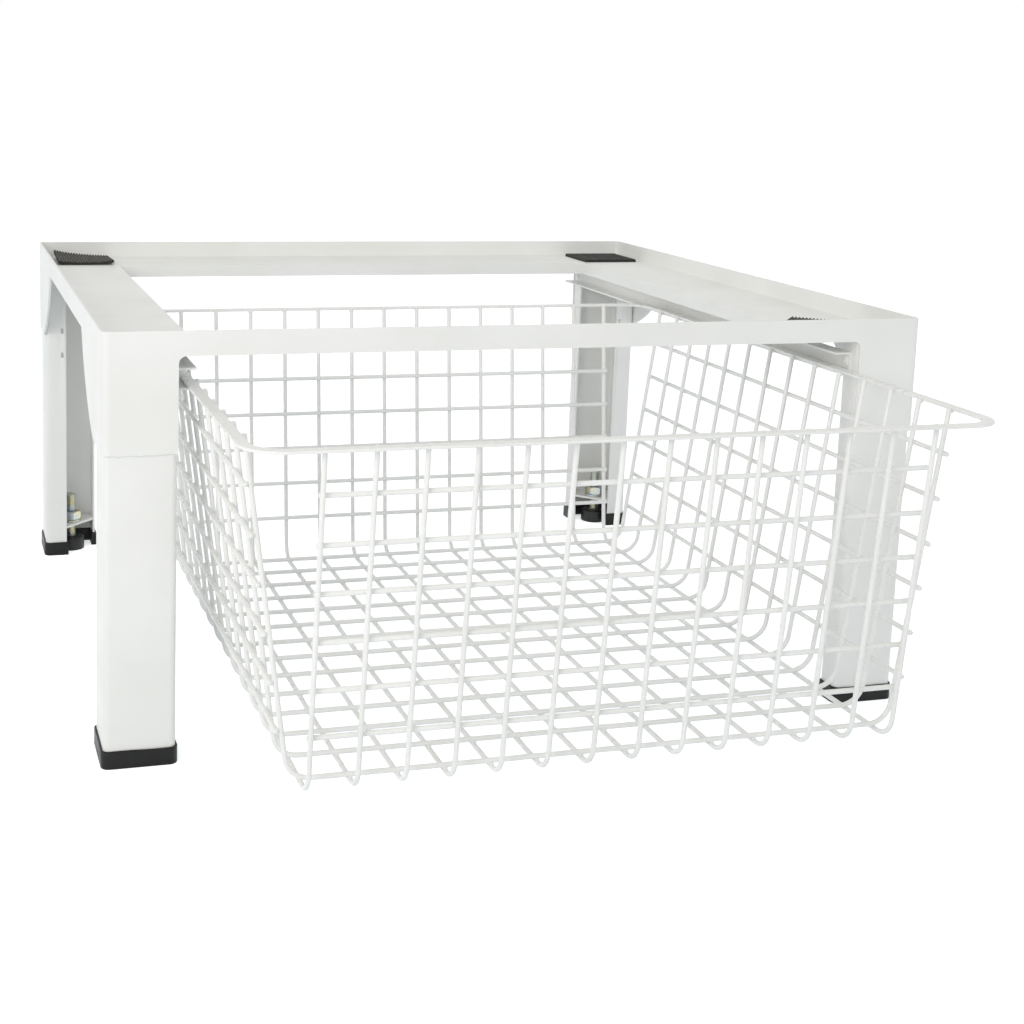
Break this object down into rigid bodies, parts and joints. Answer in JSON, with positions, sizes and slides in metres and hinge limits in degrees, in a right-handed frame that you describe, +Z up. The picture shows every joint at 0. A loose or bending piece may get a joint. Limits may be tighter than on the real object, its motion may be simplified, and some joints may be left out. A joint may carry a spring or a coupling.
{
  "type": "laundry pedestal",
  "caption": "Sheet-steel stand for a washing machine or dryer, with rubber pads on its deck, levelling feet and a wire basket that slides out on channel runners.",
  "frame": {"origin": "on the floor, under the middle of the whole pedestal with its basket drawn out as pictured", "axes": "+X to the right as one faces the front, +Y to the back, +Z up"},
  "size_m": [0.6, 0.7372, 0.295],
  "materials": {
    "white_powder_coat": "satin powder coat",
    "white_wire_coat": "glossy dipped coat on wire",
    "zinc_plate": "zinc plated",
    "boot_rubber": "matt moulded rubber",
    "pad_rubber": "ribbed rubber sheet",
    "foot_plastic": "moulded black plastic"
  },
  "bodies": {
    "frame": {"front_rail": "white_powder_coat", "rear_rail": "white_powder_coat", "left_rail": "white_powder_coat", "right_rail": "white_powder_coat", "front_left_post": "white_powder_coat", "front_right_post": "white_powder_coat", "rear_left_post": "white_powder_coat", "rear_right_post": "white_powder_coat", "front_left_leg": "white_powder_coat", "front_right_leg": "white_powder_coat", "rear_left_leg": "white_powder_coat", "rear_right_leg": "white_powder_coat", "front_left_plate": "white_powder_coat", "front_right_plate": "white_powder_coat", "rear_left_plate": "white_powder_coat", "rear_right_plate": "white_powder_coat", "front_left_boot": "boot_rubber", "front_right_boot": "boot_rubber", "rear_left_boot": "boot_rubber", "rear_right_boot": "boot_rubber", "front_left_pad": "pad_rubber", "front_right_pad": "pad_rubber", "rear_left_pad": "pad_rubber", "rear_right_pad": "pad_rubber", "left_runner": "white_powder_coat", "right_runner": "white_powder_coat", "runner_screws": "white_powder_coat", "washers": "zinc_plate", "lock_nuts": "zinc_plate"},
    "basket": {"basket_rim": "white_wire_coat", "front_mesh": "white_wire_coat", "rear_mesh": "white_wire_coat", "left_mesh": "white_wire_coat", "right_mesh": "white_wire_coat", "floor_mesh": "white_wire_coat", "floor_bends": "white_wire_coat"},
    "foot_front_left": {"front_left_foot": "foot_plastic", "front_left_stud": "zinc_plate"},
    "foot_front_right": {"front_right_foot": "foot_plastic", "front_right_stud": "zinc_plate"},
    "foot_rear_left": {"rear_left_foot": "foot_plastic", "rear_left_stud": "zinc_plate"},
    "foot_rear_right": {"rear_right_foot": "foot_plastic", "rear_right_stud": "zinc_plate"}
  },
  "joints": [
    {"name": "basket_slide", "type": "slide", "parent": "frame", "child": "basket", "axis": [0, -1, 0], "range_m": [-0.187, 0.18]},
    {"name": "front_left_foot_height", "type": "slide", "parent": "frame", "child": "foot_front_left", "axis": [0, 0, -1], "range_m": [0, 0.0105]},
    {"name": "front_right_foot_height", "type": "slide", "parent": "frame", "child": "foot_front_right", "axis": [0, 0, -1], "range_m": [0, 0.0105]},
    {"name": "rear_left_foot_height", "type": "slide", "parent": "frame", "child": "foot_rear_left", "axis": [0, 0, -1], "range_m": [0, 0.0105]},
    {"name": "rear_right_foot_height", "type": "slide", "parent": "frame", "child": "foot_rear_right", "axis": [0, 0, -1], "range_m": [0, 0.0105]}
  ]
}
